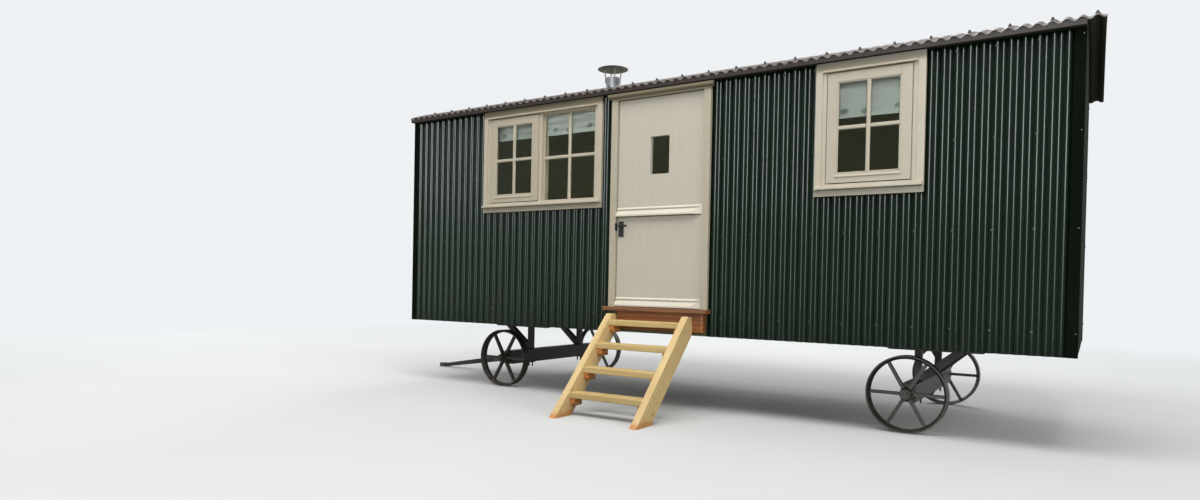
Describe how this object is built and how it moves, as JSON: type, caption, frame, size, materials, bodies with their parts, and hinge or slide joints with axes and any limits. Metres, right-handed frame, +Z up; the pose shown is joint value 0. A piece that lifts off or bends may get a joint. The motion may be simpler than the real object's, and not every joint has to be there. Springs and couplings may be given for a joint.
{
  "type": "shepherds hut",
  "caption": "Shepherd's hut on iron wheels: corrugated walls, barrel roof, stable door with open steps, casement windows, flue with cowl and a low drawbar.",
  "frame": {"origin": "on the ground below the middle of the whole hut's box", "axes": "+X along the front wall to the right, +Y from the door into the hut, +Z up"},
  "size_m": [6.448, 3.1168, 3.386],
  "materials": {
    "green_sheet": "satin",
    "brown_sheet": "satin",
    "cream_paint": "satin paint",
    "stone_paint": "satin paint",
    "cedar_stain": "stained",
    "new_pine": "bare",
    "rough_timber": "sawn",
    "floor_boards": "oiled",
    "lining": "painted boards",
    "black_iron": "painted",
    "stainless": "brushed",
    "lead_grey": "matt",
    "glass": "clear",
    "blind_fabric": "woven"
  },
  "bodies": {
    "root": {"apron": "cedar_stain", "axle_clamps": "black_iron", "axle_collars": "black_iron", "axle_stands": "black_iron", "axles": "black_iron", "chassis_cross_members": "black_iron", "chassis_rails": "black_iron", "corner_trims": "green_sheet", "door_head": "cream_paint", "door_jambs": "cream_paint", "drawbar_hinges": "black_iron", "eaves_fascias": "brown_sheet", "end_cladding": "green_sheet", "end_walls": "lining", "floor": "floor_boards", "floor_joists": "rough_timber", "flue_boot": "lead_grey", "flue_cowl": "stainless", "flue_pipe": "stainless", "front_cladding": "green_sheet", "front_wall_infills": "lining", "front_wall_piers": "lining", "rear_cladding": "green_sheet", "rear_wall": "lining", "roof_deck": "lining", "roof_sheet": "brown_sheet", "step_cleats": "cedar_stain", "step_stringers": "new_pine", "step_treads": "new_pine", "threshold": "cedar_stain", "window_blinds": "blind_fabric", "window_casings": "cream_paint", "window_drips": "cream_paint", "window_glass": "glass", "window_sashes": "cream_paint", "window_sills": "cream_paint"},
    "upper_door": {"upper_door": "stone_paint", "door_glass": "glass"},
    "lower_door": {"lower_door": "stone_paint", "door_handle": "black_iron"},
    "drawbar": {"drawbar_pole": "black_iron", "drawbar_legs": "black_iron"},
    "wheel_front_near": {"wheel_front_near": "black_iron"},
    "wheel_front_far": {"wheel_front_far": "black_iron"},
    "wheel_rear_near": {"wheel_rear_near": "black_iron"},
    "wheel_rear_far": {"wheel_rear_far": "black_iron"}
  },
  "joints": [
    {"name": "upper_door_hinge", "type": "hinge", "parent": "root", "child": "upper_door", "pos_m": [0.6595, -0.7056, 2], "axis": [0, 0, 1], "range_deg": [0, 100]},
    {"name": "lower_door_hinge", "type": "hinge", "parent": "root", "child": "lower_door", "pos_m": [0.6595, -0.7056, 1.2], "axis": [0, 0, 1], "range_deg": [0, 100]},
    {"name": "drawbar_lift", "type": "hinge", "parent": "root", "child": "drawbar", "pos_m": [-1.624, 0.4034, 0.25], "axis": [0, 1, 0], "range_deg": [0, 25]},
    {"name": "wheel_front_near_spin", "type": "hinge", "parent": "root", "child": "wheel_front_near", "pos_m": [-1.539, -0.4266, 0.27], "axis": [0, 1, 0], "continuous": true},
    {"name": "wheel_front_far_spin", "type": "hinge", "parent": "root", "child": "wheel_front_far", "pos_m": [-1.539, 1.2334, 0.27], "axis": [0, 1, 0], "continuous": true},
    {"name": "wheel_rear_near_spin", "type": "hinge", "parent": "root", "child": "wheel_rear_near", "pos_m": [2.121, -0.4266, 0.27], "axis": [0, 1, 0], "continuous": true},
    {"name": "wheel_rear_far_spin", "type": "hinge", "parent": "root", "child": "wheel_rear_far", "pos_m": [2.121, 1.2334, 0.27], "axis": [0, 1, 0], "continuous": true}
  ]
}
